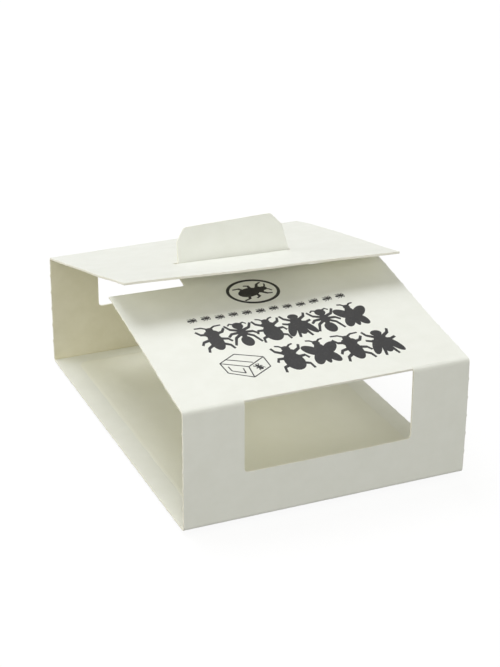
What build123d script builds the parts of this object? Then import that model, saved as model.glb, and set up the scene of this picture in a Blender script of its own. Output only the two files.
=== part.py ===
from build123d import *
import os
from math import asin, atan2, cos, degrees, hypot, radians, sin, tan

os.makedirs("parts", exist_ok=True)

# Folding card insect trap, set up: one die-cut blank folded into a tunnel with a lean-to roof.
# Frame: origin at the middle of the base's underside, +X along the creases, +Z up,
# -Y the printed front, +Y the rear. Both ends of the tunnel (-X and +X) are open.

# Driving dimensions, in millimetres and degrees
card = 0.5                  # thickness of the board
crease_length = 63.5        # width of the blank, along every crease
base_depth = 85.8
wall_height = 26.6
front_roof_run = 43.0       # front top crease to the shoulder edge
rear_roof_run = 55.1        # rear top crease to the free edge
closure_run = 16.9          # shoulder edge to the end of the lock tab, measured flat
rear_pitch = 13.9           # slope of the rear roof
crease_outer = 1.0          # outer radius of every bend

front_window_width = 37.2
front_window_depth = 15.7   # from the top crease line down
rear_window_width = 40.0
rear_window_depth = 14.2
window_radius = 0.8

tongue_width = 29.0
tongue_stub = 1.0           # start of the tongue that is in one piece with the front roof
tongue_root_radius = 0.8

slot_run = 36.2             # rear top crease to the middle of the slot
slot_length = 27.9
slot_width = 1.4

tab_width = 26.7
tab_shoulder_width = 25.4   # where the sides end and the corner cuts begin
tab_shoulder = 6.2          # height of that place along the tab
tab_top_width = 21.0
tab_corner_radius = 1.0
tab_lean = 15.0             # rearward lean of the tab from square to the rear roof
tongue_gap = 0.2            # between the tongue's fold and the underside of the rear roof
bend_allowance = card / 3   # extra depth of that fold, for the roundness of its bend

glue_thickness = 0.2
glue_margin = 4.5           # bare card round the glue
glue_corner_radius = 2.0

# Sizes that follow from them
half_depth = base_depth / 2
crease_inner = crease_outer - card
crease_neutral = crease_outer - card / 2
bottom_turn = 90.0
rear_turn = 90 - rear_pitch


def setback(radius, turn):
    """Distance from the corner where two faces would meet to where their bend begins."""
    return radius * tan(radians(turn / 2))


# The slot's middle, halfway through the rear roof, in the YZ section
slot_y = half_depth - slot_run * cos(radians(rear_pitch)) - card / 2 * sin(radians(rear_pitch))
slot_z = wall_height + slot_run * sin(radians(rear_pitch)) - card / 2 * cos(radians(rear_pitch))

# The tab stands through the slot, and folds from the tongue just under the rear roof
tab_angle = 90 - rear_pitch - tab_lean
fold_depth = (card / 2 + tongue_gap) / cos(radians(tab_lean)) + bend_allowance
fold_y = slot_y - fold_depth * cos(radians(tab_angle))
fold_z = slot_z - fold_depth * sin(radians(tab_angle))

# The front roof's middle plane runs from its crease to that fold
fold_reach = hypot(fold_y + half_depth, fold_z - wall_height)
fold_rise = degrees(atan2(fold_z - wall_height, fold_y + half_depth))
front_pitch = fold_rise + degrees(asin(card / 2 / fold_reach))
front_turn = 90 - front_pitch
tab_turn = tab_angle - front_pitch
fold_run = fold_reach * cos(radians(fold_rise - front_pitch))

wall_foot = setback(crease_outer, bottom_turn)
front_setback = setback(crease_outer, front_turn)
rear_setback = setback(crease_outer, rear_turn)
tab_setback = setback(crease_neutral, tab_turn)
tongue_end = fold_run - tab_setback
tab_run = closure_run - (tongue_end - front_roof_run) - crease_neutral * radians(tab_turn)
tab_end = tab_setback + tab_run
front_lip = crease_neutral * radians(front_turn) / 2
rear_lip = crease_neutral * radians(rear_turn) / 2

# Planes of the outer faces: local Y runs up each slope from its crease
front_roof_plane = Plane(
    origin=(0, -half_depth, wall_height),
    x_dir=(1, 0, 0),
    z_dir=(0, -sin(radians(front_pitch)), cos(radians(front_pitch))),
)
rear_roof_plane = Plane(
    origin=(0, half_depth, wall_height),
    x_dir=(-1, 0, 0),
    z_dir=(0, sin(radians(rear_pitch)), cos(radians(rear_pitch))),
)
tab_middle_plane = Plane(
    origin=(0, fold_y, fold_z),
    x_dir=(1, 0, 0),
    z_dir=(0, -sin(radians(tab_angle)), cos(radians(tab_angle))),
)
tab_plane = tab_middle_plane.offset(card / 2)
front_wall_plane = Plane.XZ.offset(half_depth - card)
rear_wall_plane = Plane.XZ.offset(-half_depth)


def crease_section(centre, start_angle, turn):
    """Give the cross-section of one bend, in the YZ plane."""
    with BuildSketch(Plane.YZ) as section:
        with BuildLine():
            outer = CenterArc(centre, crease_outer, start_angle, turn)
            inner = CenterArc(centre, crease_inner, start_angle, turn)
            Line(outer @ 0, inner @ 0)
            Line(outer @ 1, inner @ 1)
        make_face()
    return section.sketch


def wall_outline(top, window_width, window_depth):
    """Draw a wall in the current sketch, with its window open to the top crease line."""
    with Locations((0, wall_foot)):
        Rectangle(crease_length, top - wall_foot, align=(Align.CENTER, Align.MIN))
    with Locations((0, wall_height - window_depth)):
        RectangleRounded(
            window_width,
            window_depth + 2 * window_radius,
            window_radius,
            align=(Align.CENTER, Align.MIN),
            mode=Mode.SUBTRACT,
        )


def roof_outline(start, run, window_width, lip):
    """Draw a roof panel in the current sketch, with the lip that its window leaves unbent."""
    with Locations((0, start)):
        Rectangle(crease_length, run - start, align=(Align.CENTER, Align.MIN))
        Rectangle(window_width, lip, align=(Align.CENTER, Align.MAX))


def clear_window(window_width):
    """Cut the crease away over the window, which leaves a strip at each side."""
    with Locations((0, 0, wall_height)):
        Box(window_width, 2 * base_depth, 4 * crease_outer, mode=Mode.SUBTRACT)


# Base: the floor of the trap, with the glue on its upper face
with BuildPart() as base_panel:
    with BuildSketch():
        Rectangle(crease_length, base_depth - 2 * wall_foot)
    extrude(amount=card)
base_panel.part.label = "base_panel"

with BuildPart() as adhesive_film:
    with BuildSketch(Plane.XY.offset(card)):
        RectangleRounded(
            crease_length - 2 * glue_margin,
            base_depth - 2 * glue_margin,
            glue_corner_radius,
        )
    extrude(amount=glue_thickness)
adhesive_film.part.label = "adhesive_film"

# Walls
with BuildPart() as front_wall_panel:
    with BuildSketch(front_wall_plane):
        wall_outline(wall_height - front_setback, front_window_width, front_window_depth)
    extrude(amount=card)
front_wall_panel.part.label = "front_wall_panel"

with BuildPart() as rear_wall_panel:
    with BuildSketch(rear_wall_plane):
        wall_outline(wall_height - rear_setback, rear_window_width, rear_window_depth)
    extrude(amount=card)
rear_wall_panel.part.label = "rear_wall_panel"

# Roofs
with BuildPart() as front_roof_panel:
    with BuildSketch(front_roof_plane) as front_roof_face:
        roof_outline(front_setback, front_roof_run, front_window_width, front_lip)
        with Locations((0, front_roof_run)):
            Rectangle(tongue_width, tongue_stub, align=(Align.CENTER, Align.MIN))
        shoulder_corners = front_roof_face.vertices().group_by(Axis.Y)[-2]
        fillet(shoulder_corners.sort_by(Axis.X)[1:3], tongue_root_radius)
    extrude(amount=-card)
front_roof_panel.part.label = "front_roof_panel"

with BuildPart() as rear_roof_panel:
    with BuildSketch(rear_roof_plane):
        roof_outline(rear_setback, rear_roof_run, rear_window_width, rear_lip)
        with Locations((0, slot_run)):
            SlotOverall(slot_length, slot_width, mode=Mode.SUBTRACT)
    extrude(amount=-card)
rear_roof_panel.part.label = "rear_roof_panel"

# Closure: the tongue slides under the rear roof, and the tab stands up through its slot
with BuildPart() as tab_tongue:
    with BuildSketch(front_roof_plane):
        with Locations((0, front_roof_run + tongue_stub)):
            Rectangle(
                tongue_width,
                tongue_end - front_roof_run - tongue_stub,
                align=(Align.CENTER, Align.MIN),
            )
    extrude(amount=-card)
tab_tongue.part.label = "tab_tongue"

with BuildPart() as lock_tab:
    with BuildSketch(tab_plane) as tab_face:
        with BuildLine():
            Polyline(
                (-tab_width / 2, tab_setback),
                (tab_width / 2, tab_setback),
                (tab_shoulder_width / 2, tab_shoulder),
                (tab_top_width / 2, tab_end),
                (-tab_top_width / 2, tab_end),
                (-tab_shoulder_width / 2, tab_shoulder),
                close=True,
            )
        make_face()
        fillet(tab_face.vertices().sort_by(Axis.Y)[2:], tab_corner_radius)
    extrude(amount=-card)
lock_tab.part.label = "lock_tab"

# Creases: each is the bent strip of card between two panels
front_bottom_section = crease_section((-half_depth + crease_outer, crease_outer), 180, bottom_turn)
with BuildPart() as front_bottom_crease:
    extrude(front_bottom_section, amount=crease_length / 2, both=True)
front_bottom_crease.part.label = "front_bottom_crease"

rear_bottom_section = crease_section((half_depth - crease_outer, crease_outer), 270, bottom_turn)
with BuildPart() as rear_bottom_crease:
    extrude(rear_bottom_section, amount=crease_length / 2, both=True)
rear_bottom_crease.part.label = "rear_bottom_crease"

front_top_centre = (-half_depth + crease_outer, wall_height - front_setback)
front_top_section = crease_section(front_top_centre, 90 + front_pitch, front_turn)
with BuildPart() as front_top_crease:
    extrude(front_top_section, amount=crease_length / 2, both=True)
    clear_window(front_window_width)
front_top_crease.part.label = "front_top_crease"

rear_top_centre = (half_depth - crease_outer, wall_height - rear_setback)
rear_top_section = crease_section(rear_top_centre, 0, rear_turn)
with BuildPart() as rear_top_crease:
    extrude(rear_top_section, amount=crease_length / 2, both=True)
    clear_window(rear_window_width)
rear_top_crease.part.label = "rear_top_crease"

# The tab's bend turns the other way, so its centre is above the tongue
tab_centre = (
    fold_y - tab_setback * cos(radians(front_pitch)) - crease_neutral * sin(radians(front_pitch)),
    fold_z - tab_setback * sin(radians(front_pitch)) + crease_neutral * cos(radians(front_pitch)),
)
tab_section = crease_section(tab_centre, front_pitch - 90, tab_turn)
with BuildPart() as tab_crease:
    extrude(tab_section, amount=tab_width / 2, both=True)
tab_crease.part.label = "tab_crease"

for piece in (
    base_panel,
    adhesive_film,
    front_wall_panel,
    rear_wall_panel,
    front_roof_panel,
    rear_roof_panel,
    tab_tongue,
    lock_tab,
    front_bottom_crease,
    rear_bottom_crease,
    front_top_crease,
    rear_top_crease,
    tab_crease,
):
    export_step(piece.part, f"parts/{piece.part.label}.step")


def hinge_inset(turn):
    """Depth of a crease's hinge axis under both outer faces, so that the card opens at its true length."""
    return crease_outer - crease_neutral * radians(turn / 2) / tan(radians(turn / 2))


def hinge_drop(turn):
    """Distance from the corner to the foot of the hinge axis, along either outer face."""
    return hinge_inset(turn) * tan(radians(turn / 2))


# Joint axes in the YZ section (y, z), with the turn that flattens each crease
bottom_inset = hinge_inset(bottom_turn)
front_inset = hinge_inset(front_turn)
rear_inset = hinge_inset(rear_turn)
tab_inset = hinge_inset(tab_turn)
tab_hinge = card / 2 - tab_inset
tab_bisector = radians(front_pitch + tab_turn / 2 - 90)
tab_offset = tab_hinge / cos(radians(tab_turn / 2))
joint_axes = {
    "front_bottom_crease": (-half_depth + bottom_inset, bottom_inset, bottom_turn),
    "rear_bottom_crease": (half_depth - bottom_inset, bottom_inset, bottom_turn),
    "front_top_crease": (-half_depth + front_inset, wall_height - hinge_drop(front_turn), front_turn),
    "rear_top_crease": (half_depth - rear_inset, wall_height - hinge_drop(rear_turn), rear_turn),
    "tab_crease": (
        fold_y + tab_offset * cos(tab_bisector),
        fold_z + tab_offset * sin(tab_bisector),
        tab_turn,
    ),
}
for name, (axis_y, axis_z, turn) in joint_axes.items():
    print(f"{name}: axis along X at y {axis_y:.3f}, z {axis_z:.3f}, opens {turn:.2f} degrees")
print(f"front roof pitch {front_pitch:.2f}, tongue ends at {tongue_end:.2f}, tab run {tab_run:.2f}")
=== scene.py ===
"""Looks of a folded card insect trap: its bent board, print and glue, and the studio."""

import math

import bmesh
import bpy
import numpy as np
from mathutils import Matrix, Quaternion, Vector, noise
from mathutils.geometry import delaunay_2d_cdt


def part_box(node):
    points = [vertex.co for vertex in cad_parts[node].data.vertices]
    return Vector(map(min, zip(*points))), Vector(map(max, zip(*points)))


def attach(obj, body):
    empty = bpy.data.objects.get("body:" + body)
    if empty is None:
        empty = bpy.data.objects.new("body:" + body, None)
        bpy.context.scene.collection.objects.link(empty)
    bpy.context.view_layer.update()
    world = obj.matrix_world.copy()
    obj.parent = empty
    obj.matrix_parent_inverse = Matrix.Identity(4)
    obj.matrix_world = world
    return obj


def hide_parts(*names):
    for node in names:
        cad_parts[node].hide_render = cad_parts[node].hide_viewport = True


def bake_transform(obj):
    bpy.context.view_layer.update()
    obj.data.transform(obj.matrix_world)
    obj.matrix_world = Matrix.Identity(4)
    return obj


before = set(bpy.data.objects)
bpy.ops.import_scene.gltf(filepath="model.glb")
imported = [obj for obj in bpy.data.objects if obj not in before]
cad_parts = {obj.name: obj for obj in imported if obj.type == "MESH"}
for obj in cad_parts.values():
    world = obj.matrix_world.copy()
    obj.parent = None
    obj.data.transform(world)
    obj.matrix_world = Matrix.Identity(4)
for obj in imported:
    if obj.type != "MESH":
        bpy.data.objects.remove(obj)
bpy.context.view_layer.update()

# Flat shapes are drawn in millimetres and become metres when they are bent into place.
MM = 0.001
X_AXIS = Vector((1, 0, 0))
TOUCHING = 1e-3  # places nearer to each other than this are the same place

# The board
BOARD = 0.5  # thickness
OUTER_BEND, INNER_BEND = 1.0, 0.5  # radii of the faces round each crease
CUT_SOFTNESS = 0.06  # bevel on the cut edges
CREASE_WEAR = 0.03  # unevenness round the creases
TEAR_DEPTH = 0.12  # how far the torn ties stand out along the blank's long edges
TIE_PITCH, TIE_WIDTH = 4.2, 0.9
TIE_MARGIN = 0.6  # no ties this near to a panel's ends

# The mesh
PANEL_PITCH = 1.5  # on flat panels
TEAR_PITCH = 0.3  # along the torn edges
CREASE_PITCH = 0.8  # along the creases
CREASE_ROWS = 12  # round a bend
RIM_CLEARANCE = 0.35  # how near to the rim the inner points come, as a share of their pitch

# How the board is bowed
FRONT_BULGE, REAR_BULGE = 0.22, 0.18  # how far the walls' middles stand out
BULGE_REACH = 48  # a bulge would die away this far to each side
WALL_COCKLE, FRONT_COCKLE, REAR_COCKLE = 0.12, 0.25, 0.3  # height of the board's slow unevenness
FRONT_TWIST, REAR_TWIST = 0.0004, 0.00057  # a roof's tilt per millimetre along its crease
SHOULDER = 43  # just past the front roof's shoulders, where its tongue starts
CORNER_LIFT = 1.15  # upward curl of the front roof's shoulder on one side
DROOP = 0.4  # sag of both roofs where they overlap, on the side where the tongue pulls them down
TONGUE_SWAY = 0.4  # the tongue's sideways pull in its slot
TAB_SLANT = 0.055  # slope of the lock tab's top edge


# ---------------------------------------------------------------- outlines


def outline(nodes, facing):
    """Give the normal and the boundary loops of the CAD nodes' face that looks along facing."""
    polygons = [
        (face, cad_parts[node].data)
        for node in nodes
        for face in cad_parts[node].data.polygons
    ]
    candidates = [face for face, _ in polygons if face.normal.dot(facing) > 0.8]
    normal = max(candidates, key=lambda face: face.area).normal.copy()
    edges, places = set(), {}
    for face, mesh in polygons:
        if face.normal.dot(normal) < 0.9999:
            continue
        keys = []
        for index in face.vertices:
            place = mesh.vertices[index].co / MM
            # Corners within a hundredth of a millimetre are one corner.
            keys.append(tuple(round(c * 100) for c in place))
            places[keys[-1]] = place
        for a, b in zip(keys, keys[1:] + keys[:1]):
            if (b, a) in edges:
                edges.remove((b, a))
            else:
                edges.add((a, b))
    loops, following = [], dict(sorted(edges))
    while following:
        first = min(following)
        here, loop = following.pop(first), [places[first]]
        while here != first:
            loop.append(places[here])
            here = following.pop(here)
        loops.append(loop)
    return normal, loops


def contained(points, shapes):
    """Tell which points lie in any of the shapes.

    A shape is a list of loops, and the later ones are its holes.
    """
    found = np.zeros(len(points), bool)
    x, y = points[:, 0, None], points[:, 1, None]
    for shape in shapes:
        crossings = np.zeros(len(points), int)
        for loop in shape:
            a = np.array(loop)
            b = np.roll(a, -1, axis=0)
            rise = np.where(a[:, 1] == b[:, 1], 1.0, b[:, 1] - a[:, 1])
            at = a[:, 0] + (y - a[:, 1]) * (b[:, 0] - a[:, 0]) / rise
            crossings += (((a[:, 1] > y) != (b[:, 1] > y)) & (x < at)).sum(1)
        found |= crossings % 2 == 1
    return found


def clearance(points, a, b):
    """Give each point's distance from the nearest of the segments a to b."""
    best = np.full(len(points), np.inf)
    for p, q in zip(a, b):
        d = q - p
        t = np.clip((points - p) @ d / max(d @ d, 1e-12), 0, 1)
        best = np.minimum(best, np.linalg.norm(points - p - t[:, None] * d, axis=1))
    return best


def divided(loop, pitch):
    """Divide a loop's sides. pitch is a length, or a function of a side's two ends."""
    out = []
    for a, b in zip(loop, loop[1:] + loop[:1]):
        step = pitch(a, b) if callable(pitch) else pitch
        count = max(1, math.ceil(math.dist(a, b) / step - 1e-6))
        out += [
            (a[0] + (b[0] - a[0]) * i / count, a[1] + (b[1] - a[1]) * i / count)
            for i in range(count)
        ]
    return out


def triangulated(shapes, pitch):
    """Fill the shapes with triangles: points as an array, and triples of their numbers."""
    points, edges = [], []
    for loop in (loop for shape in shapes for loop in shape):
        first = len(points)
        points += loop
        edges += [(first + i, first + (i + 1) % len(loop)) for i in range(len(loop))]
    rim = np.array(points)
    low, high = rim.min(0), rim.max(0)
    across, along = (max(1, math.ceil((high[k] - low[k]) / pitch[k])) for k in (0, 1))
    grid = np.array(
        [
            (low[0] + (high[0] - low[0]) * i / across, low[1] + (high[1] - low[1]) * j / along)
            for i in range(1, across)
            for j in range(1, along)
        ]
    ).reshape(-1, 2)
    if len(grid):
        grid = grid[contained(grid, shapes)]
        ends = np.array(edges)
        away = clearance(grid, rim[ends[:, 0]], rim[ends[:, 1]])
        grid = grid[away > RIM_CLEARANCE * min(pitch)]
    seeds = [Vector(p) for p in points] + [Vector(p) for p in grid.tolist()]
    verts, _, faces = delaunay_2d_cdt(seeds, edges, [], 0, 1e-5)[:3]
    verts = np.array([tuple(v) for v in verts])
    faces = np.array([f for f in faces if len(f) == 3])
    faces = faces[contained(verts[faces].mean(1), shapes)]
    corner = verts[faces]
    side_a, side_b = corner[:, 1] - corner[:, 0], corner[:, 2] - corner[:, 0]
    clockwise = side_a[:, 0] * side_b[:, 1] - side_a[:, 1] * side_b[:, 0] < 0
    faces[clockwise] = faces[clockwise][:, ::-1]
    return verts, faces


def slab(name, shapes, at, pitch, materials, bevel=CUT_SOFTNESS, bevel_depth=None, joined=()):
    """Make a closed slab over flat shapes.

    at(x, s, depth) puts a point of it in place, with depth from 0 at its face to 1 at its back.
    The materials are for the face, the back and the rim. bevel is how far in the bevelled edges
    run, and bevel_depth how deep, as a share of the depth. Sides on the lines s = joined meet
    another piece, so they get no bevel.
    """
    bevel_depth = bevel / BOARD if bevel_depth is None else bevel_depth
    verts, faces = triangulated(shapes, pitch)
    rim = set()
    for face in faces:
        for a, b in zip(face, np.roll(face, -1)):
            if (b, a) in rim:
                rim.remove((b, a))
            else:
                rim.add((a, b))
    after = dict(sorted(rim))
    before = {b: a for a, b in after.items()}

    def meets(i):
        """Tell whether a point of the rim lies on a joined line."""
        return any(abs(verts[i][1] - s) < TOUCHING for s in joined)

    def inward(a, b):
        """Give the unit vector from the rim's side a-b into the slab, or zero on a joined line."""
        if meets(a) and meets(b):
            return np.zeros(2)
        d = verts[b] - verts[a]
        return np.array((-d[1], d[0])) / np.linalg.norm(d)

    inset = verts.copy()
    for i in after:
        n, m = inward(before[i], i), inward(i, after[i])
        if meets(i):
            inset[i] += (n + m) * (bevel, 0)
        else:
            # The lower limit stops a sharp corner's inset from running far in.
            inset[i] += (n + m) / max(1 + n @ m, 0.4) * bevel

    ring = sorted(after)
    place = {i: k for k, i in enumerate(ring)}
    count, span = len(verts), len(ring)
    layers = (
        [at(x, s, 0.0) for x, s in inset]
        + [at(*verts[i], bevel_depth) for i in ring]
        + [at(*verts[i], 1 - bevel_depth) for i in ring]
        + [at(x, s, 1.0) for x, s in inset]
    )
    polygons, slots = [], []
    back = count + 2 * span
    for a, b, c in faces.tolist():
        polygons += [(a, b, c), (back + c, back + b, back + a)]
        slots += [0, 1]
    for a in ring:
        b = after[a]
        upper = (count + place[a], count + place[b])
        lower = (upper[0] + span, upper[1] + span)
        polygons += [
            (b, a, upper[0], upper[1]),
            (upper[1], upper[0], lower[0], lower[1]),
            (lower[1], lower[0], back + a, back + b),
        ]
        slots += [2, 2, 2]

    mesh = bpy.data.meshes.new(name)
    mesh.from_pydata([p * MM for p in layers], [], polygons)
    for material in materials:
        mesh.materials.append(material)
    mesh.polygons.foreach_set("material_index", slots)
    work = bmesh.new()
    work.from_mesh(mesh)
    bmesh.ops.recalc_face_normals(work, faces=work.faces)
    work.to_mesh(mesh)
    work.free()
    mesh.shade_smooth()
    mesh.set_sharp_from_angle(angle=math.radians(30))
    piece = bpy.data.objects.new(name, mesh)
    bpy.context.scene.collection.objects.link(piece)
    return piece


# ---------------------------------------------------------------- materials


def new_material(name):
    """Start a node material. Give it, its tree and its shader."""
    material = bpy.data.materials.new(name)
    material.use_nodes = True
    tree = material.node_tree
    return material, tree, tree.nodes["Principled BSDF"]


def add(tree, kind, **values):
    """Add a node and set its inputs by name, or its own properties where none has that name."""
    node = tree.nodes.new(kind)
    for key, value in values.items():
        if key in node.inputs:
            node.inputs[key].default_value = value
        else:
            setattr(node, key, value)
    return node


def computed(tree, operation, value, *others):
    """Add a maths node on a value. The others are numbers or further values."""
    node = add(tree, "ShaderNodeMath", operation=operation)
    tree.links.new(value, node.inputs[0])
    for socket, other in zip(list(node.inputs)[1:], others):
        if isinstance(other, float):
            socket.default_value = other
        else:
            tree.links.new(other, socket)
    return node.outputs[0]


def grain(tree, scale, detail, stretch=(1, 1, 1)):
    """Add noise fixed to the object. scale is in features per metre."""
    place = add(tree, "ShaderNodeTexCoord")
    mapping = add(tree, "ShaderNodeMapping", Scale=stretch)
    tree.links.new(place.outputs["Object"], mapping.inputs["Vector"])
    cloud = add(tree, "ShaderNodeTexNoise", Scale=scale, Detail=detail, Roughness=0.6)
    tree.links.new(mapping.outputs["Vector"], cloud.inputs["Vector"])
    return cloud.outputs["Fac"]


def ranged(tree, value, low, high, from_low=0.35, from_high=0.65):
    """Stretch a value's middle range to low..high."""
    node = add(tree, "ShaderNodeMapRange")
    for key, number in (
        ("From Min", from_low),
        ("From Max", from_high),
        ("To Min", low),
        ("To Max", high),
    ):
        node.inputs[key].default_value = number
    tree.links.new(value, node.inputs["Value"])
    return node.outputs["Result"]


def tinted(tree, value, low, high):
    """Mix two colours by a value."""
    mix = add(tree, "ShaderNodeMix", data_type="RGBA")
    # The colours are inputs 6 and 7, and the mixed colour is output 2.
    mix.inputs[6].default_value, mix.inputs[7].default_value = (*low, 1), (*high, 1)
    tree.links.new(value, mix.inputs[0])
    return mix.outputs[2]


def bumped(tree, shader, height, distance, strength=1.0):
    """Raise the shader's surface by a height from 0 to 1, of distance metres."""
    bump = add(tree, "ShaderNodeBump", Strength=strength, Distance=distance)
    tree.links.new(height, bump.inputs["Height"])
    earlier = shader.inputs["Normal"]
    if earlier.is_linked:
        tree.links.new(earlier.links[0].from_socket, bump.inputs["Normal"])
    tree.links.new(bump.outputs["Normal"], earlier)


def board(name, low, high, rough, fibre):
    """Paperboard: cloudy colour from low to high, fibres of the given height, and a soft tooth."""
    material, tree, shader = new_material(name)
    cloud = ranged(tree, grain(tree, 220, 3), 0, 1)
    tree.links.new(tinted(tree, cloud, low, high), shader.inputs["Base Color"])
    strands = grain(tree, 1900, 6, stretch=(1.0, 0.35, 0.35))
    tree.links.new(ranged(tree, strands, rough - 0.07, rough + 0.07), shader.inputs["Roughness"])
    bumped(tree, shader, strands, fibre * MM)
    bumped(tree, shader, grain(tree, 90, 2), 0.05 * MM, 0.6)
    shader.inputs["Specular IOR Level"].default_value = 0.35
    return material


def ink():
    """Black ink with a fine speckle."""
    material, tree, shader = new_material("print_ink")
    specks = grain(tree, 2600, 5)
    black, grey = (0.028, 0.028, 0.03), (0.075, 0.074, 0.072)
    colour = tinted(tree, ranged(tree, specks, 0, 1, 0.5, 0.75), black, grey)
    tree.links.new(colour, shader.inputs["Base Color"])
    tree.links.new(ranged(tree, specks, 0.42, 0.6), shader.inputs["Roughness"])
    bumped(tree, shader, specks, 0.008 * MM)
    return material


def glue():
    """Clear, tacky glue on the pale board, spread along the trap's depth."""
    material, tree, shader = new_material("glue_coat")
    cloud = ranged(tree, grain(tree, 70, 4), 0, 1)
    colour = tinted(tree, cloud, (0.88, 0.89, 0.79), (0.91, 0.92, 0.83))
    tree.links.new(colour, shader.inputs["Base Color"])
    streaks = grain(tree, 420, 4, stretch=(1.0, 0.18, 1.0))
    tree.links.new(ranged(tree, streaks, 0.30, 0.4), shader.inputs["Roughness"])
    bumped(tree, shader, streaks, 0.02 * MM, 0.5)
    bumped(tree, shader, grain(tree, 130, 3), 0.15 * MM, 0.5)
    shader.inputs["Coat Weight"].default_value = 0.25
    shader.inputs["Coat Roughness"].default_value = 0.2
    return material


COATED = board("board_coated", (0.86, 0.875, 0.81), (0.885, 0.90, 0.84), 0.56, 0.012)
UNCOATED = board("board_uncoated", (0.745, 0.715, 0.545), (0.785, 0.755, 0.59), 0.75, 0.03)
CUT = board("board_cut", (0.86, 0.845, 0.74), (0.91, 0.90, 0.82), 0.85, 0.06)
INK = ink()
GLUE = glue()

BOARD_FACES = (COATED, UNCOATED, CUT)


# ---------------------------------------------------------------- warps
# A warp gives how far a panel's board lies from its flat place at x and s, in millimetres:
# sideways, up the slope and outward.


def ramp(value, start, end):
    """Ease from 0 to 1 as the value goes from start to end."""
    t = min(max((value - start) / (end - start), 0.0), 1.0)
    return t * t * (3 - 2 * t)


def cockle(x, s, seed, height):
    """Give the slow unevenness of a sheet of board."""
    return height * noise.noise(Vector((x * 0.05, s * 0.05, seed)))


def flat(x, s):
    """Leave a panel as it is."""
    return 0.0, 0.0, 0.0


def bulge(height, seed):
    """Give a warp for a wall: out between its two creases, most in the middle."""
    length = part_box("front_wall_panel")[1].z / MM

    def warp(x, s):
        """Give the wall's warp, which is nothing at its creases."""
        arch = math.sin(math.pi * min(1.0, s / length))
        lift = height * (1 - (x / BULGE_REACH) ** 2) + cockle(x, s, seed, WALL_COCKLE)
        return 0.0, 0.0, arch * lift

    return warp


def front_roof_warp(x, s):
    """Give the front roof's slow twist, the curl of one shoulder, and its tongue's pull."""
    beside_tongue = 1 - ramp(s, SHOULDER, SHOULDER + 6)
    curled = CORNER_LIFT * ramp(x, 6, 16) * ramp(s, SHOULDER - 29, SHOULDER) * beside_tongue
    drooped = DROOP * ramp(x, -12, 13) * ramp(s, 36, 48)
    wavy = ramp(s, 0, 9) * ramp(s, 44, 32) * cockle(x, s, 5.0, FRONT_COCKLE)
    swayed = TONGUE_SWAY * ramp(s, SHOULDER, SHOULDER + 7)
    return swayed, 0.0, curled - drooped - FRONT_TWIST * x * s + wavy


def rear_roof_warp(x, s):
    """Give the rear roof's twist, which leaves its crease gently, and its sag."""
    drooped = DROOP * ramp(x, -12, 13) * ramp(s, 22, 50)
    # The unevenness fades out at the crease and at the slot.
    wavy = ramp(s, 0, 9) * ramp(abs(s - 36), 0, 9) * cockle(x, s, 9.0, REAR_COCKLE)
    return 0.0, 0.0, -REAR_TWIST * x * s * s / (s + 6) - drooped + wavy


def tab_warp(x, s):
    """Slope the lock tab's top edge."""
    return 0.0, TAB_SLANT * x * ramp(s, 0, 6), 0.0


# ---------------------------------------------------------------- panels

half_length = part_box("base_panel")[1].x / MM


def on_tear(x):
    """Tell whether x is on one of the blank's long edges, which are torn from the next trap."""
    return abs(x) > half_length - TOUCHING


def torn(x, s):
    """Draw the blank's long edge in to the torn line, all but its ties."""
    if not on_tear(x):
        return x
    from_tie = abs((s + TIE_PITCH / 2) % TIE_PITCH - TIE_PITCH / 2)
    # A tie is full height in its middle, and its sides slope down to the torn line.
    tie = min(1.0, max(0.0, 1.6 * (1 - 2 * from_tie / TIE_WIDTH)))
    return math.copysign(half_length - TEAR_DEPTH * (1 - tie), x)


def torn_flat(x):
    """Draw the blank's long edge in to the torn line, with no tie."""
    return math.copysign(half_length - TEAR_DEPTH, x) if on_tear(x) else x


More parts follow.
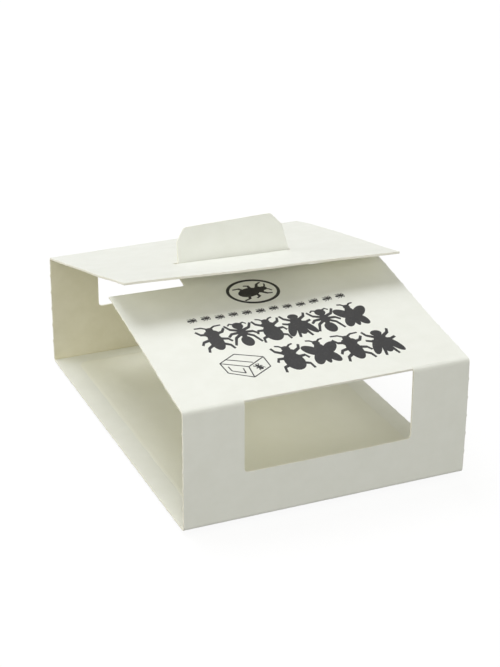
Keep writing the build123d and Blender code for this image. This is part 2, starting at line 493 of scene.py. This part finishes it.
class Panel:
    """A flat panel of the board.

    x runs along the creases, and s rises from the crease that the panel starts at.
    """

    def __init__(
        self,
        name,
        nodes,
        body,
        facing,
        rising,
        joined,
        warp=flat,
        carrier=None,
        materials=BOARD_FACES,
    ):
        """Take the panel's flat shape from its CAD nodes' face that looks along facing.

        rising is roughly the way that s rises, and joined names the ends that meet a crease. A
        panel with a carrier goes with the end of that panel.
        """
        self.name = name
        self.nodes = nodes
        self.body = body
        self.warp = warp
        self.carrier = carrier
        self.materials = materials
        self.normal, loops = outline(nodes, Vector(facing))
        self.rise = self.normal.cross(X_AXIS)
        if self.rise.dot(Vector(rising)) < 0:
            self.rise.negate()
        points = [p for loop in loops for p in loop]
        widest = max(abs(p.x) for p in points)
        start = min(p.dot(self.rise) for p in points if abs(p.x) > widest - 0.01)
        self.origin = self.rise * start + self.normal * points[0].dot(self.normal)
        self.loops = [[(p.x, p.dot(self.rise) - start) for p in loop] for loop in loops]
        self.length = max(s for loop in self.loops for _, s in loop)
        self.joined = [s for end, s in (("start", 0.0), ("end", self.length)) if end in joined]

    def offset(self, x, s):
        """Give how far the board is from its flat place."""
        sideways, along, out = self.warp(x, s)
        moved = X_AXIS * sideways + self.rise * along + self.normal * out
        if self.carrier:
            moved += self.carrier.offset(x, self.carrier.length)
        return moved

    def at(self, x, s, depth):
        """Give the point at x and s, with depth from 0 at the outer face to 1 at the inner."""
        level = self.origin + X_AXIS * x + self.rise * s
        return level - self.normal * (BOARD * depth) + self.offset(x, s)

    def rim(self, loop):
        """Divide a loop's sides, finely along the torn edges, and draw those in."""

        def pitch(a, b):
            return TEAR_PITCH if on_tear(a[0]) and on_tear(b[0]) else PANEL_PITCH

        points = []
        for x, s in divided(loop, pitch):
            tied = TIE_MARGIN < s < self.length - TIE_MARGIN
            points.append((torn(x, s) if tied else torn_flat(x), s))
        return points

    def build(self):
        """Make the panel's piece in place of its CAD nodes."""
        piece = slab(
            self.name,
            [[self.rim(loop) for loop in self.loops]],
            self.at,
            (PANEL_PITCH, PANEL_PITCH),
            self.materials,
            joined=self.joined,
        )
        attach(piece, self.body)
        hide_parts(*self.nodes)


base = Panel(
    "base_sheet",
    ["base_panel"],
    "base",
    facing=(0, 0, -1),
    rising=(0, 1, 0),
    joined=("start", "end"),
    materials=(COATED, COATED, CUT),
)
front_wall = Panel(
    "front_wall_sheet",
    ["front_wall_panel"],
    "front_wall",
    facing=(0, -1, 0),
    rising=(0, 0, 1),
    joined=("start", "end"),
    warp=bulge(FRONT_BULGE, 3.0),
)
rear_wall = Panel(
    "rear_wall_sheet",
    ["rear_wall_panel"],
    "rear_wall",
    facing=(0, 1, 0),
    rising=(0, 0, 1),
    joined=("start", "end"),
    warp=bulge(REAR_BULGE, 8.0),
)
front_roof = Panel(
    "front_roof_sheet",
    ["front_roof_panel", "tab_tongue"],
    "front_roof",
    facing=(0, 0, 1),
    rising=(0, 1, 0),
    joined=("start", "end"),
    warp=front_roof_warp,
)
rear_roof = Panel(
    "rear_roof_sheet",
    ["rear_roof_panel"],
    "rear_roof",
    facing=(0, 0, 1),
    rising=(0, -1, 0),
    joined=("start",),
    warp=rear_roof_warp,
)
tab = Panel(
    "lock_tab_sheet",
    ["lock_tab"],
    "lock_tab",
    facing=(0, -0.9, 0.4),
    rising=(0, 0, 1),
    joined=("start",),
    warp=tab_warp,
    carrier=front_roof,
)

for panel in (base, front_wall, rear_wall, front_roof, rear_roof, tab):
    panel.build()


# ---------------------------------------------------------------- creases


def crease(name, node, a, end, b, face_radius):
    """Bend the board from panel a, at its start or end, to panel b's start.

    face_radius is the bend's radius at the outer face, which is on the bend's inside at the tab.
    """
    edge_s = a.length if end == "end" else 0.0
    inside = 1 if face_radius == OUTER_BEND else -1
    centre = a.origin + a.rise * edge_s - a.normal * face_radius * inside
    turn = a.normal.rotation_difference(b.normal)
    run = a.normal.angle(b.normal) * (OUTER_BEND + INNER_BEND) / 2

    def at(x, s, depth):
        """Give the point at x and s round the bend, carried by panel a's edge."""
        ray = Quaternion().slerp(turn, s / run) @ a.normal
        radius = face_radius - inside * depth * BOARD
        roundness = math.sin(math.pi * min(max(s / run, 0), 1))
        wear = CREASE_WEAR * roundness * noise.noise(Vector((x * 0.9, s, 2.0)))
        return centre + X_AXIS * x + ray * (inside * (radius + wear)) + a.offset(x, edge_s)

    row = run / CREASE_ROWS

    def pitch(p, q):
        return row if abs(p[0] - q[0]) < 1e-6 else CREASE_PITCH

    # A crease beside a window is in two strips.
    xs = sorted({round(v.co.x / MM, 3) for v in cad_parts[node].data.vertices})
    strips = []
    for low, high in zip(xs[::2], xs[1::2]):
        low, high = torn_flat(low), torn_flat(high)
        strips.append([divided([(low, 0.0), (high, 0.0), (high, run), (low, run)], pitch)])
    piece = slab(name, strips, at, (CREASE_PITCH, row), BOARD_FACES, joined=(0.0, run))
    # The points on the bend's inside at its start and end are worked out, and not used.
    back = 1.0 if inside > 0 else 0.0
    at(0, 0, back) * MM
    at(0, run, back) * MM
    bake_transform(piece)
    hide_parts(node)


crease("front_bottom_bend", "front_bottom_crease", base, "start", front_wall, OUTER_BEND)
crease("rear_bottom_bend", "rear_bottom_crease", base, "end", rear_wall, OUTER_BEND)
crease("front_top_bend", "front_top_crease", front_wall, "end", front_roof, OUTER_BEND)
crease("rear_top_bend", "rear_top_crease", rear_wall, "end", rear_roof, OUTER_BEND)
crease("lock_tab_bend", "tab_crease", front_roof, "end", tab, INNER_BEND)


# ---------------------------------------------------------------- glue

GLUE_HEIGHT = (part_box("adhesive_film")[1].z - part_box("adhesive_film")[0].z) / MM
GLUE_ROOT = 0.01  # how far the glue goes into the board
GLUE_PITCH = 1.0
GLUE_ROUNDING = 0.5  # how far in from its edge the glue reaches its full height
RAGGED_ACROSS, RAGGED_ALONG = 0.006, 0.004  # the edge's mean retreat, as a share of the size


def ragged(x, y):
    """Draw the glue's edge in a little, unevenly."""
    across = RAGGED_ACROSS * (1 + noise.noise(Vector((x * 0.25, y * 0.25, 1.0))))
    along = RAGGED_ALONG * (1 + noise.noise(Vector((x * 0.25, y * 0.25, 6.0))))
    return x * (1 - across), y * (1 - along)


def glue_at(x, y, depth):
    """Give a point of the glue: uneven on top, and just into the board below."""
    top = BOARD + GLUE_HEIGHT * (0.85 + 0.3 * noise.noise(Vector((x * 0.35, y * 0.12, 4.0))))
    return Vector((x, y, top + (BOARD - GLUE_ROOT - top) * depth))


_, film_loops = outline(["adhesive_film"], Vector((0, 0, 1)))
film_edge = divided([(p.x, p.y) for p in film_loops[0]], GLUE_PITCH)
film = slab(
    "glue_coat",
    [[[ragged(x, y) for x, y in film_edge]]],
    glue_at,
    (GLUE_PITCH, GLUE_PITCH),
    (GLUE, GLUE, GLUE),
    bevel=GLUE_ROUNDING,
    bevel_depth=0.45,
)
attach(film, "base")
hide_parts("adhesive_film")


# ---------------------------------------------------------------- print

INK_HEIGHT, INK_SINK = 0.02, 0.03  # how far the ink stands out of the roof and goes into it
INK_PITCH = 1.2

# An insect is one unit long, head up: body ovals (y, half width, half length), then the legs,
# feelers and wings of one side, which are mirrored. Legs and feelers are points, and wings are
# (x, y, half width, half length, turn).
BEETLE = dict(
    body=((-0.14, 0.29, 0.33), (0.20, 0.22, 0.13), (0.35, 0.13, 0.10)),
    legs=(
        ((0.1, 0.16), (0.36, 0.30), (0.42, 0.44)),
        ((0.1, 0.0), (0.40, 0.02), (0.47, -0.10)),
        ((0.1, -0.2), (0.38, -0.30), (0.42, -0.48)),
    ),
    feelers=(((0.05, 0.38), (0.16, 0.47), (0.27, 0.5)),),
    wings=(),
)
ANT = dict(
    body=((-0.30, 0.19, 0.21), (-0.04, 0.09, 0.11), (0.12, 0.13, 0.13), (0.35, 0.17, 0.14)),
    legs=(
        ((0.05, 0.15), (0.30, 0.24), (0.42, 0.42)),
        ((0.05, 0.08), (0.34, 0.06), (0.47, -0.05)),
        ((0.05, 0.02), (0.28, -0.12), (0.42, -0.40)),
    ),
    feelers=(((0.08, 0.42), (0.22, 0.47), (0.30, 0.40)),),
    wings=(),
)
FLY = dict(
    body=((-0.12, 0.17, 0.28), (0.17, 0.19, 0.15), (0.36, 0.17, 0.11)),
    legs=(
        ((0.1, 0.2), (0.33, 0.33), (0.40, 0.47)),
        ((0.1, 0.1), (0.30, 0.08), (0.46, 0.14)),
        ((0.08, -0.1), (0.16, -0.38), (0.20, -0.5)),
    ),
    feelers=(),
    wings=((0.27, -0.13, 0.13, 0.33, 0.50),),
)
ROACH = dict(
    body=((-0.10, 0.22, 0.38), (0.20, 0.24, 0.15), (0.36, 0.12, 0.09)),
    legs=(
        ((0.1, 0.18), (0.34, 0.22), (0.45, 0.36)),
        ((0.1, -0.02), (0.38, -0.08), (0.47, -0.20)),
        ((0.1, -0.2), (0.34, -0.34), (0.40, -0.5)),
    ),
    feelers=(((0.04, 0.40), (0.20, 0.49), (0.42, 0.5)),),
    wings=(),
)
MOTH = dict(
    body=((-0.10, 0.11, 0.32), (0.20, 0.14, 0.14), (0.36, 0.11, 0.09)),
    legs=(),
    feelers=(((0.04, 0.40), (0.14, 0.48), (0.26, 0.5)),),
    wings=((0.27, 0.12, 0.16, 0.30, -0.95), (0.21, -0.20, 0.15, 0.24, 0.55)),
)

# The trap in outline: its roof, front wall, side, window and ridge
PICTOGRAM = (
    ((-18.4, 12.6), (-14.4, 14.9), (-9.0, 12.4), (-13.2, 9.9), (-18.4, 12.6)),
    ((-18.4, 12.6), (-18.0, 9.0), (-13.5, 6.2), (-13.2, 9.9)),
    ((-13.5, 6.2), (-8.9, 8.8), (-9.0, 12.4)),
    ((-17.2, 11.1), (-17.0, 9.5), (-14.6, 8.0), (-14.5, 9.7)),
    ((-16.9, 13.6), (-11.8, 11.1)),
)
PICTOGRAM_LINE = 0.26


def oval(x, y, across, along, turn=0.0, count=28):
    """Draw an oval by its half sizes."""
    c, s = math.cos(turn), math.sin(turn)
    out = []
    for i in range(count):
        u = across * math.cos(2 * math.pi * i / count)
        v = along * math.sin(2 * math.pi * i / count)
        out.append((x + u * c - v * s, y + u * s + v * c))
    return out


def stroke(points, wide, thin):
    """Draw a tapering line through points, wide at its first one."""
    left, right = [], []
    for i, p in enumerate(points):
        a, b = points[max(0, i - 1)], points[min(len(points) - 1, i + 1)]
        d = math.dist(a, b)
        half = (wide + (thin - wide) * i / (len(points) - 1)) / 2
        n = (-(b[1] - a[1]) / d * half, (b[0] - a[0]) / d * half)
        left.append((p[0] + n[0], p[1] + n[1]))
        right.append((p[0] - n[0], p[1] - n[1]))
    return left + right[::-1]


def insect(kind, x, y, width, length, turn=0.0, leg=0.105):
    """Draw an insect of the given size about a middle point, with legs of leg units' thickness."""
    c, s = math.cos(turn), math.sin(turn)
    shapes = [oval(0, at, across, along) for at, across, along in kind["body"]]
    for side in (-1, 1):
        for line in kind["legs"]:
            shapes.append(stroke([(side * p, q) for p, q in line], leg, leg * 0.7))
        for line in kind["feelers"]:
            shapes.append(stroke([(side * p, q) for p, q in line], leg * 0.6, leg * 0.45))
        for u, v, across, along, lean in kind["wings"]:
            shapes.append(oval(side * u, v, across, along, side * lean))
    out = []
    for loop in shapes:
        placed = []
        for u, v in loop:
            u, v = u * width, v * length
            placed.append((x + u * c - v * s, y + u * s + v * c))
        out.append([placed])
    return out


def artwork():
    """Draw the print on the front roof, in x and s."""
    shapes = []
    # First bold row, across the roof
    for i, kind in enumerate((ROACH, ANT, BEETLE, FLY, ANT, MOTH)):
        shapes += insect(kind, -16.0 + 6.3 * i, 21.2, 7.0, 8.8)
    # Second bold row, at the right below it
    for i, kind in enumerate((BEETLE, MOTH, ROACH, FLY)):
        shapes += insect(kind, -3.4 + 6.9 * i, 10.4, 7.4, 9.6)
    # A trail of small ants
    for i in range(12):
        x, s = -18.2 + 3.1 * i, 28.6 + 0.12 * math.sin(2.3 * i)
        shapes += insect(ANT, x, s, 1.7, 2.1, turn=-1.45, leg=0.12)
    # Emblem: a beetle in a ring
    shapes.append([oval(-1.1, 36.2, 6.0, 4.9, count=56), oval(-1.1, 36.2, 5.3, 4.2, count=56)])
    shapes += insect(BEETLE, -1.1, 36.2, 5.8, 7.8, turn=-1.35, leg=0.1)
    # Pictogram: the trap in outline, with an insect in it
    for line in PICTOGRAM:
        for a, b in zip(line, line[1:]):
            shapes.append([stroke([a, b], PICTOGRAM_LINE, PICTOGRAM_LINE)])
    shapes += insect(BEETLE, -11.2, 9.3, 1.8, 2.3, turn=0.5, leg=0.12)
    return shapes


def ink_at(x, s, depth):
    """Give a point of the print, a little proud of the roof's face and rooted in it."""
    height = INK_HEIGHT - (INK_HEIGHT + INK_SINK) * depth
    return front_roof.at(x, s, -height / BOARD)


printed = slab(
    "front_roof_print",
    [[divided(loop, INK_PITCH) for loop in shape] for shape in artwork()],
    ink_at,
    (INK_PITCH, INK_PITCH),
    (INK, INK, INK),
    bevel=0.012,
    bevel_depth=0.2,
)
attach(printed, "front_roof")


# ---------------------------------------------------------------- floor, light and camera

FLOOR_REACH = 4.0  # metres from the middle to each side
FLOOR_DROP = 0.7 * MM  # room for the bowed roofs, which dip below the base in the flat trap

scene = bpy.context.scene
scene.view_settings.view_transform = "Standard"


def lay_floor():
    """Lay a plain white floor."""
    corners = [
        (x * FLOOR_REACH, y * FLOOR_REACH, 0) for x, y in ((-1, -1), (1, -1), (1, 1), (-1, 1))
    ]
    mesh = bpy.data.meshes.new("floor")
    mesh.from_pydata(corners, [], [(0, 1, 2, 3)])
    floor = bpy.data.objects.new("floor", mesh)
    floor.location.z = -FLOOR_DROP
    scene.collection.objects.link(floor)
    paint, _, shader = new_material("floor_paint")
    shader.inputs["Base Color"].default_value = (0.10, 0.10, 0.10, 1)
    shader.inputs["Roughness"].default_value = 0.9
    shader.inputs["Emission Color"].default_value = (1, 1, 1, 1)
    shader.inputs["Emission Strength"].default_value = 0.9
    mesh.materials.append(paint)
    # The floor is kept from lighting the trap from below.
    floor.visible_diffuse = False


def light_room():
    """Light the room as between two large screens: dimmer in front, behind and below."""
    world = bpy.data.worlds.new("studio")
    world.use_nodes = True
    tree = world.node_tree
    toward = add(tree, "ShaderNodeSeparateXYZ")
    place = add(tree, "ShaderNodeTexCoord")
    tree.links.new(place.outputs["Generated"], toward.inputs[0])
    sideways = computed(tree, "POWER", toward.outputs["X"], 2.0)
    screens = computed(tree, "MULTIPLY_ADD", sideways, 1.17, 0.08)
    above = ranged(tree, toward.outputs["Z"], 0.55, 1.0, -0.15, 0.15)
    room = tree.nodes["Background"]
    tree.links.new(computed(tree, "MULTIPLY", screens, above), room.inputs["Strength"])
    room.inputs["Color"].default_value = (1.0, 0.98, 0.87, 1)
    scene.world = world


def lamp(name, toward, distance, size, watts, colour=(1, 1, 1)):
    """Hang a round soft light in the given direction from the object's middle."""
    data = bpy.data.lights.new(name, "AREA")
    data.shape, data.size, data.energy, data.color = "DISK", size, watts, colour
    light = bpy.data.objects.new(name, data)
    direction = Vector(toward).normalized()
    light.location = direction * distance
    light.rotation_euler = direction.to_track_quat("Z", "Y").to_euler()
    scene.collection.objects.link(light)


lay_floor()
light_room()
lamp("key", (-0.12, 0.46, 1.0), distance=0.75, size=0.50, watts=3.3, colour=(0.975, 0.98, 1.04))
lamp("fill", (-0.26, -1.0, 0.44), distance=0.9, size=0.45, watts=2.65)
lamp("side", (-1.0, 0.55, 0.50), distance=0.9, size=0.45, watts=1.3)

# The camera's place comes from its direction and distance from the middle of the trap.
AZIMUTH, ELEVATION, ROLL = math.radians(-23.3), math.radians(24.4), math.radians(0.4)
DISTANCE = 0.376
LENS = 92
MIDDLE = Vector((0, 0, 0.0218))
AIM = Vector((0.001, 0, 0.0195))

camera = bpy.data.objects.new("camera", bpy.data.cameras.new("camera"))
scene.collection.objects.link(camera)
scene.camera = camera
back = Vector(
    (
        math.sin(AZIMUTH) * math.cos(ELEVATION),
        -math.cos(AZIMUTH) * math.cos(ELEVATION),
        math.sin(ELEVATION),
    )
)
camera.location = MIDDLE + back * DISTANCE
look = (camera.location - AIM).to_track_quat("Z", "Y")
camera.rotation_euler = (look.to_matrix() @ Matrix.Rotation(ROLL, 3, "Z")).to_euler()
camera.data.lens = LENS
camera.data.clip_start, camera.data.clip_end = 0.01, 20
